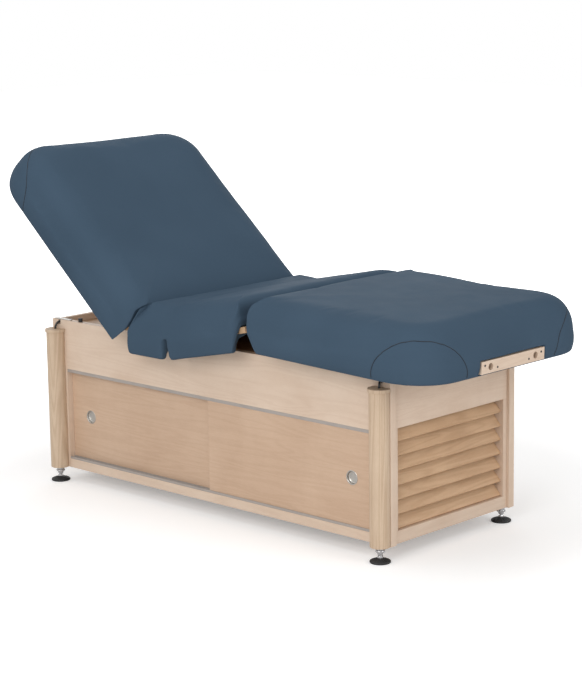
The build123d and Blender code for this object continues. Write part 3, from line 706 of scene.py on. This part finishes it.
def corner_seam(name, piece, place, free_x, side, body):
    """The arched seam round a corner panel, laid on the pad and pulled into it."""
    towards = 1 if free_x > 0 else -1
    centre = Vector((free_x - towards * PLAN_RADIUS, side * (half_width - PLAN_RADIUS), 0))
    surface = BVHTree.FromPolygons([v.co for v in piece.data.vertices],
                                   [f.vertices for f in piece.data.polygons])
    line = []
    for i in range(SEAM_POINTS + 1):
        t = sin(pi * (i / SEAM_POINTS - 0.5))
        turn = pi / 4 + t * (pi / 4 + SEAM_SPREAD)
        arch = (1 - abs(t) ** SEAM_ARCH[0]) ** SEAM_ARCH[1]
        height = SKIRT_BOTTOM + SEAM_FOOT + SEAM_RISE * arch
        reach = PLAN_RADIUS + SEAM_OUT - SEAM_LEAN[1] * max(0.0, height - SEAM_LEAN[0])
        point = centre + Vector((towards * cos(turn), side * sin(turn), 0)) * reach
        point.z = height
        spot, normal, _, _ = surface.find_nearest(place(point))
        line.append((spot, normal))
    tree = KDTree(len(line))
    for i, (spot, _) in enumerate(line):
        tree.insert(spot, i)
    tree.balance()
    for vert in piece.data.vertices:
        _, _, gap = tree.find(vert.co)
        if gap < 3 * GROOVE_REACH:
            pull = GROOVE_DEPTH * exp(-(gap / GROOVE_REACH) ** 2)
            vert.co -= vert.normal * pull
    piece.data.update()
    curve = bpy.data.curves.new(name, "CURVE")
    curve.dimensions = "3D"
    spline = curve.splines.new("POLY")
    spline.points.add(len(line) - 1)
    for handle, (spot, normal) in zip(spline.points, line):
        handle.co = (*(spot - normal * (GROOVE_DEPTH - 0.3 * SEAM_RADIUS)), 1)
    curve.bevel_depth = SEAM_RADIUS
    curve.bevel_resolution = 2
    # the seam's tube takes the thread colour, which has the groove's shade painted into it
    curve.materials.append(thread_painted_shade)
    seam = bpy.data.objects.new(name, curve)
    bpy.context.scene.collection.objects.link(seam)
    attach(seam, body)


for side_name, side in (("front", -1), ("rear", 1)):
    corner_seam(f"leg_corner_seam_{side_name}", leg_pad, place_leg, LEG_LENGTH - PAD_INSET,
                side, "leg_section")
    corner_seam(f"back_corner_seam_{side_name}", back_pad, place_back,
                PAD_INSET - BACK_LENGTH, side, "back_section")


# ---- fittings --------------------------------------------------------------------------------
def levelling_foot(corner):
    """A ribbed rubber pad and a notched steel collar on its rod."""
    low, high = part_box(f"foot_pad_{corner}")
    x, y = (low[0] + high[0]) / 2, (low[1] + high[1]) / 2
    pad_form = lathe([(0, 0), (0.0285, 0), (0.0300, 0.0015), (0.0300, 0.0048),
                      (0.0288, 0.0062), (0.0240, 0.0074), (0.0175, 0.0092), (0.0120, 0.0112),
                      (0.0096, 0.0122), (0.0078, 0.0122), (0.0060, 0.0116), (0, 0.0116)],
                     segments=96)
    for vert in pad_form.verts:
        out = hypot(vert.co.x, vert.co.y)
        if 0.010 < out < 0.0285 and vert.co.z > 0.003:
            vert.co.z += 0.0011 * (cos(16 * atan2(vert.co.y, vert.co.x)) > 0.2)
    bmesh.ops.translate(pad_form, verts=pad_form.verts, vec=(x, y, 0))
    piece = new_piece(f"levelling_pad_{corner}", pad_form, rubber, f"lift_{corner}")
    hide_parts(f"foot_pad_{corner}")
    collar = lathe([(0.0080, 0.0300), (0.0128, 0.0300), (0.0138, 0.0308), (0.0138, 0.0352),
                    (0.0130, 0.0362), (0.0080, 0.0362)], segments=72)
    for vert in collar.verts:
        out = hypot(vert.co.x, vert.co.y)
        if out > 0.012 and cos(9 * atan2(vert.co.y, vert.co.x)) > 0.35:
            vert.co.x *= 0.885
            vert.co.y *= 0.885
    nut = lathe([(0.0045, 0.0132), (0.0078, 0.0132), (0.0088, 0.0140), (0.0088, 0.0182),
                 (0.0078, 0.0190), (0.0045, 0.0190)], segments=6)
    for form, label in ((collar, "foot_collar"), (nut, "lock_nut")):
        bmesh.ops.translate(form, verts=form.verts, vec=(x, y, 0))
        made = new_piece(f"{label}_{corner}", form, chrome, f"lift_{corner}",
                         shade=False)
        made.modifiers.new("eased edges", "BEVEL").width = 0.0003


for corner_name in CORNERS:
    levelling_foot(corner_name)


def finger_pull(end):
    """A spun steel cup with a rolled rim, let into a door."""
    low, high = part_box(f"pull_{end}")
    centre = ((low[0] + high[0]) / 2, low[1] + 0.001, (low[2] + high[2]) / 2)
    cup = lathe([(0, -0.0076), (0.0135, -0.0076), (0.0166, -0.0070), (0.0176, -0.0054),
                 (0.0178, -0.0030), (0.0179, -0.0006), (0.0184, 0.0006), (0.0194, 0.0010),
                 (0.0206, 0.0009), (0.0213, 0.0005), (0.0215, 0.0), (0.0190, 0.0),
                 (0.0190, -0.0080), (0.0180, -0.0089), (0, -0.0089)], segments=96,
                centre=centre, matrix=Matrix.Rotation(pi / 2, 4, "X"))
    piece = new_piece(f"finger_pull_{end}", cup, brushed, f"{end}_door")
    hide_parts(f"pull_{end}")


def hose_cover(end):
    """A rounded steel strip over the hose's slot, held by a domed screw at its inner end."""
    low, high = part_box(f"hose_strap_{end}")
    sx = ENDS[end]
    outer = high[0] if sx > 0 else low[0]
    y, z = (low[1] + high[1]) / 2, low[2]
    disc = (high[1] - low[1]) / 2
    strip = 0.62 * disc
    length = high[0] - low[0]
    outline = []
    meet = 0.5 * pi + atan2(strip, (disc ** 2 - strip ** 2) ** 0.5)
    for i in range(25):
        turn = mix(-pi + (pi - meet) + 0.25, pi - (pi - meet) - 0.25, i / 24)
        outline.append((-disc + disc * cos(turn), disc * sin(turn)))
    for i in range(13):
        turn = mix(pi / 2, 3 * pi / 2, i / 12)
        outline.append((-length + strip + strip * cos(turn), strip * sin(turn)))
    bm = bmesh.new()
    face = bm.faces.new([bm.verts.new((outer + sx * px, y + py, z)) for px, py in outline])
    raised = bmesh.ops.extrude_face_region(bm, geom=[face])
    bmesh.ops.translate(bm, vec=(0, 0, 0.0015),
                        verts=[v for v in raised["geom"] if isinstance(v, bmesh.types.BMVert)])
    plate = new_piece(f"hose_cover_{end}", bm, brushed, "cabinet", shade=False)
    edge = plate.modifiers.new("eased edges", "BEVEL")
    edge.width, edge.segments = 0.0005, 2
    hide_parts(f"hose_strap_{end}")
    screw = lathe([(0, 0), (0.0046, 0), (0.0046, 0.0006), (0.0038, 0.0018), (0.0020, 0.0026),
                   (0.0018, 0.0014), (0, 0.0014)], segments=36,
                  centre=(outer - sx * (length - strip), y, z + 0.0015))
    new_piece(f"hose_cover_screw_{end}", screw, chrome, "cabinet")


for end_name in ENDS:
    finger_pull(end_name)
    hose_cover(end_name)

SCREW_PLACES = ((0.1255, 0.006), (0.0700, -0.006))      # out from the middle, and up
socket_front = Vector(mounts["cradle_socket_front"]["pos_m"])
plate_middle = Vector((socket_front.x, 0, socket_front.z))
across_plate = foot_axis.cross(Vector((0, 1, 0)))
for i, (out, up) in enumerate(SCREW_PLACES):
    for side_name, side in (("front", -1), ("rear", 1)):
        place = plate_middle + Vector((0, side * out, 0)) + across_plate * up
        head = lathe([(0, -0.0006), (0.0013, -0.0006), (0.0016, 0.0010), (0.0022, 0.0012),
                      (0.0030, 0.0006), (0.0032, 0.0), (0.0032, -0.002), (0, -0.002)],
                     segments=30, centre=place,
                     matrix=foot_axis.to_track_quat("Z", "Y").to_matrix().to_4x4())
        screw = new_piece(f"plate_screw_{side_name}_{i + 1}", head, black_steel, "leg_section")
        if i == 0 and side < 0:
            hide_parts("plate_screws")


# ---- light, floor and camera -----------------------------------------------------------------
CAMERA_AZIMUTH, CAMERA_ELEVATION, CAMERA_ROLL = 43.76, 11.443, -0.867
CAMERA_AT = (4.3216, -4.4676, 1.7308)
CAMERA_LENS = 106.94

camera = bpy.data.objects.new("camera", bpy.data.cameras.new("camera"))
bpy.context.scene.collection.objects.link(camera)
camera.data.lens = CAMERA_LENS
camera.data.clip_end = 60
turn, tilt, roll = (radians(v) for v in (CAMERA_AZIMUTH, CAMERA_ELEVATION, CAMERA_ROLL))
back_way = Vector((sin(turn) * cos(tilt), -cos(turn) * cos(tilt), sin(tilt)))
right_way = Vector((cos(turn), sin(turn), 0))
up_way = back_way.cross(right_way)
right_rolled = right_way * cos(roll) + up_way * sin(roll)
up_rolled = up_way * cos(roll) - right_way * sin(roll)
camera.matrix_world = Matrix.Translation(CAMERA_AT) @ Matrix(
    (right_rolled, up_rolled, back_way)).transposed().to_4x4()
bpy.context.scene.camera = camera


def area_lamp(name, place, aim, size, power, colour=(1, 1, 1)):
    lamp = bpy.data.objects.new(name, bpy.data.lights.new(name, "AREA"))
    bpy.context.scene.collection.objects.link(lamp)
    lamp.data.shape = "RECTANGLE"
    lamp.data.size, lamp.data.size_y = size
    lamp.data.energy = power
    lamp.data.color = colour
    lamp.location = place
    lamp.rotation_mode = "QUATERNION"
    lamp.rotation_quaternion = (Vector(aim) - Vector(place)).to_track_quat("-Z", "Y")
    return lamp


AMBIENT = 0.52
aim = (0, 0, 0.5)
area_lamp("overhead softbox", (-0.6, -0.8, 3.6), aim, (3.4, 2.6), 30)
area_lamp("front softbox", (1.5, -4.0, 2.2), aim, (2.6, 2.0), 76)
area_lamp("foot end softbox", (4.6, 0.6, 1.7), aim, (2.0, 1.8), 46)
area_lamp("rear fill", (-2.8, 3.2, 2.2), aim, (2.4, 1.8), 26)


# The world lights the scene softly, and shows white to the camera, mirrors and glass.
world = bpy.data.worlds.new("studio")
bpy.context.scene.world = world
world.use_nodes = True
world.node_tree.nodes.clear()
t = Nodes(world.node_tree)
rays = t.add("ShaderNodeLightPath").outputs
seen = t.math("MAXIMUM", rays["Is Camera Ray"],
              t.math("MAXIMUM", rays["Is Glossy Ray"], rays["Is Transmission Ray"]))
ambient = t.add("ShaderNodeBackground", Color=(1, 1, 1, 1), Strength=AMBIENT)
shown = t.add("ShaderNodeBackground", Color=(1, 1, 1, 1), Strength=1.0)
chosen = t.add("ShaderNodeMixShader")
t.feed(chosen.inputs[0], seen)
t.feed(chosen.inputs[1], ambient.outputs[0])
t.feed(chosen.inputs[2], shown.outputs[0])
t.feed(t.add("ShaderNodeOutputWorld").inputs[0], chosen.outputs[0])

floor_bm = bmesh.new()
bmesh.ops.create_grid(floor_bm, x_segments=1, y_segments=1, size=14)
floor_mesh = bpy.data.meshes.new("studio_floor")
floor_bm.to_mesh(floor_mesh)
floor_bm.free()
floor = bpy.data.objects.new("studio_floor", floor_mesh)
bpy.context.scene.collection.objects.link(floor)
pale = bpy.data.materials.new("pale floor")
pale.use_nodes = True
t = Nodes(pale.node_tree)
shader = pale.node_tree.nodes["Principled BSDF"]
shader.inputs["Roughness"].default_value = 0.9
shader.inputs["Specular IOR Level"].default_value = 0.1
shader.inputs["Base Color"].default_value = (0.86, 0.86, 0.86, 1)
rays = t.add("ShaderNodeLightPath").outputs
away = t.add("ShaderNodeVectorMath", {"operation": "LENGTH"})
t.feed(away.inputs[0], t.add("ShaderNodeTexCoord").outputs["Object"])
glow = t.math("ADD", 0.3, t.spread(away.outputs["Value"], 1.0, 4.0))
shader.inputs["Emission Color"].default_value = (1, 1, 1, 1)
t.feed(shader.inputs["Emission Strength"], t.math("MULTIPLY", rays["Is Camera Ray"], glow))
floor_mesh.materials.append(pale)

bpy.context.scene.view_settings.view_transform = "Standard"
